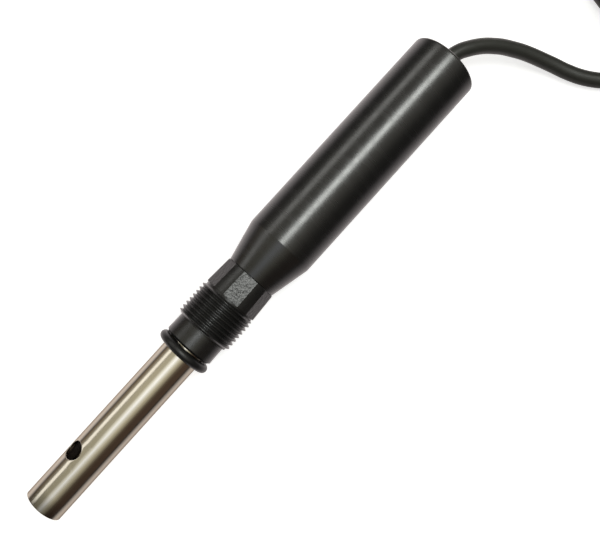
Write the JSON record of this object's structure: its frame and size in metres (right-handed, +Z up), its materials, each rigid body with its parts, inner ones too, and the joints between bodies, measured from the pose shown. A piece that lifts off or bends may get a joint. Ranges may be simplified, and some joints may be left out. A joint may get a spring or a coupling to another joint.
{
  "type": "water quality probe",
  "caption": "Threaded conductivity probe: a vented steel electrode tube, a swivel fitting with an O-ring, a round black handle and a moulded cable tied in a hank.",
  "frame": {"origin": "centre of the bottom of the probe's own box, on the surface it lies on, half way between its tip and the end of its handle (its free cable left out)", "axes": "+X along the probe from its open tip to its cable end, +Z up"},
  "size_m": [0.3543, 0.0718, 0.0282],
  "materials": {
    "stainless_steel": "satin turned 316 steel",
    "handle_plastic": "satin turned black acetal",
    "fitting_plastic": "black moulding with a fine spark-eroded grain",
    "seal_rubber": "satin black nitrile",
    "cable_jacket": "matt black PVC",
    "insulator_plastic": "natural PEEK",
    "brass": "turned brass",
    "tinned_copper": "dull tin",
    "sensor_glass": "glass-coated bead",
    "heat_shrink": "shrunk polyolefin sleeve",
    "wire_red": "coloured PVC",
    "wire_black": "black PVC",
    "wire_white": "white PVC",
    "wire_green": "green PVC",
    "wire_blue": "blue PVC",
    "tie_strap": "black strap"
  },
  "bodies": {
    "probe": {"cable": "cable_jacket", "cable_core_black": "wire_black", "cable_core_green": "wire_green", "cable_core_red": "wire_red", "cable_core_white": "wire_white", "cable_crimp_ring": "brass", "cable_end_sleeve": "heat_shrink", "cable_grommet": "seal_rubber", "cable_hank": "cable_jacket", "cable_stub": "cable_jacket", "cable_tail": "cable_jacket", "clamp_nut": "brass", "clamp_washer": "stainless_steel", "electrode_insulator": "insulator_plastic", "electrode_nut": "stainless_steel", "electrode_solder_tag": "tinned_copper", "electrode_tube": "stainless_steel", "electrode_washer": "stainless_steel", "end_core_black": "wire_black", "end_core_blue": "wire_blue", "end_core_green": "wire_green", "end_core_red": "wire_red", "end_core_white": "wire_white", "end_ferrule_black": "tinned_copper", "end_ferrule_blue": "tinned_copper", "end_ferrule_green": "tinned_copper", "end_ferrule_red": "tinned_copper", "end_ferrule_white": "tinned_copper", "handle_body": "handle_plastic", "hank_tie_front": "tie_strap", "hank_tie_rear": "tie_strap", "inner_electrode": "stainless_steel", "insulator_circlip": "stainless_steel", "insulator_o_ring_front": "seal_rubber", "insulator_o_ring_rear": "seal_rubber", "nose_seal": "seal_rubber", "rear_cap": "handle_plastic", "rear_cap_o_ring": "seal_rubber", "rod_o_ring": "seal_rubber", "rod_wire": "wire_red", "sensor_lead_front": "wire_white", "sensor_lead_rear": "wire_green", "splice_sleeve_black": "heat_shrink", "splice_sleeve_green": "heat_shrink", "splice_sleeve_red": "heat_shrink", "splice_sleeve_white": "heat_shrink", "swivel_snap_ring": "stainless_steel", "temperature_sensor": "sensor_glass", "tube_solder_tag": "tinned_copper", "tube_wire": "wire_black"},
    "fitting": {"threaded_fitting": "fitting_plastic", "fitting_seal_front": "seal_rubber", "fitting_seal_rear": "seal_rubber"},
    "port_seal": {"port_o_ring": "seal_rubber"}
  },
  "joints": [
    {"name": "fitting_swivel", "type": "hinge", "parent": "probe", "child": "fitting", "pos_m": [-0.00445, 0, 0.01175], "axis": [1, 0, 0], "continuous": true},
    {"name": "port_seal_slide", "type": "slide", "parent": "probe", "child": "port_seal", "axis": [1, 0, 0], "range_m": [-0.058, 0.0001]}
  ]
}
